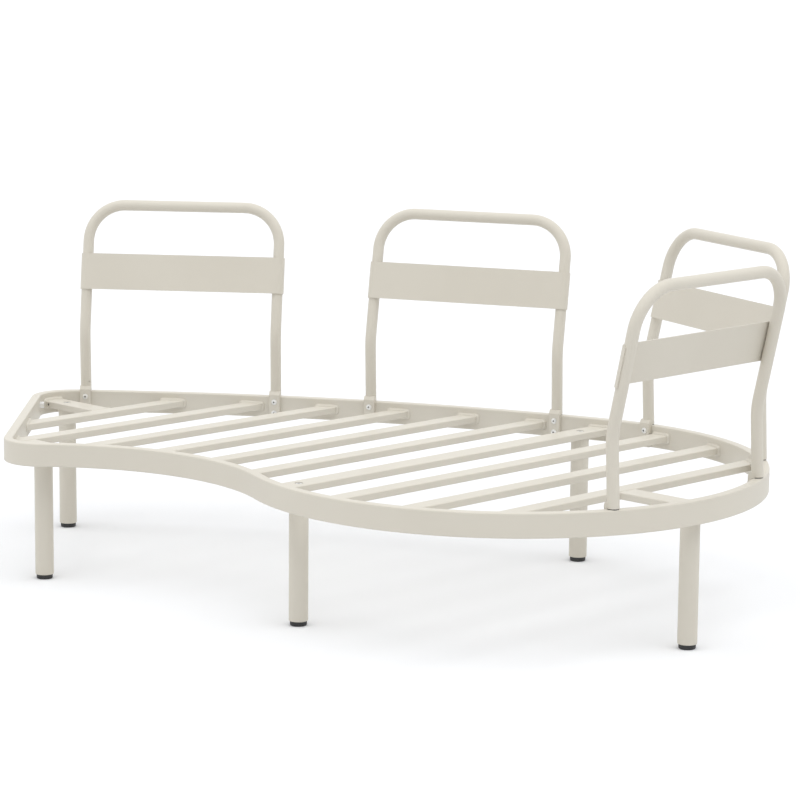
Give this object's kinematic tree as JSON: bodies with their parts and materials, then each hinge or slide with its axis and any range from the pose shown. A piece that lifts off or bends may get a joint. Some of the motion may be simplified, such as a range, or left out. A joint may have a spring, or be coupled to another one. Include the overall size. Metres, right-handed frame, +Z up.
{
  "type": "garden bench",
  "caption": "Curved lounge bench frame: flat-tube rim on round legs, diagonal seat slats and bolted tube backrests, for use with loose cushions.",
  "frame": {"origin": "on the floor, under the middle of the whole bench's box", "axes": "+X from the straight end towards the round end, +Y towards the back, +Z up"},
  "size_m": [1.6598, 1.4226, 0.758],
  "materials": {
    "powder_coat": "satin warm white powder coat with a very fine texture",
    "zinc_steel": "bright zinc plating",
    "black_plastic": "matt black moulded plastic"
  },
  "bodies": {
    "root": {"back_left_brace": "powder_coat", "backrest_plate_front": "powder_coat", "backrest_plate_left": "powder_coat", "backrest_plate_middle": "powder_coat", "backrest_plate_right": "powder_coat", "backrest_tube_caps": "black_plastic", "backrest_tube_front": "powder_coat", "backrest_tube_left": "powder_coat", "backrest_tube_middle": "powder_coat", "backrest_tube_right": "powder_coat", "bracket_front_left": "powder_coat", "bracket_front_right": "powder_coat", "bracket_left_left": "powder_coat", "bracket_left_right": "powder_coat", "bracket_middle_left": "powder_coat", "bracket_middle_right": "powder_coat", "bracket_right_left": "powder_coat", "bracket_right_right": "powder_coat", "bracket_screws": "zinc_steel", "foot_back_left": "black_plastic", "foot_back_right": "black_plastic", "foot_front_left": "black_plastic", "foot_front_middle": "black_plastic", "foot_front_right": "black_plastic", "foot_studs": "zinc_steel", "front_left_brace": "powder_coat", "front_right_brace": "powder_coat", "joining_bolt": "zinc_steel", "joining_insert": "zinc_steel", "joining_spring_washer": "zinc_steel", "joining_washer": "zinc_steel", "leg_back_left": "powder_coat", "leg_back_right": "powder_coat", "leg_bolt_sleeves": "zinc_steel", "leg_bolts": "zinc_steel", "leg_bottom_plugs": "zinc_steel", "leg_front_left": "powder_coat", "leg_front_middle": "powder_coat", "leg_front_right": "powder_coat", "leg_top_plugs": "zinc_steel", "rim_back": "powder_coat", "rim_cove": "powder_coat", "rim_round_end": "powder_coat", "rim_straight_end": "powder_coat", "rivet_nuts": "zinc_steel", "slat_01": "powder_coat", "slat_02": "powder_coat", "slat_03": "powder_coat", "slat_04": "powder_coat", "slat_05": "powder_coat", "slat_06": "powder_coat", "slat_07": "powder_coat", "slat_08": "powder_coat", "slat_09": "powder_coat", "slat_10": "powder_coat"}
  },
  "joints": []
}
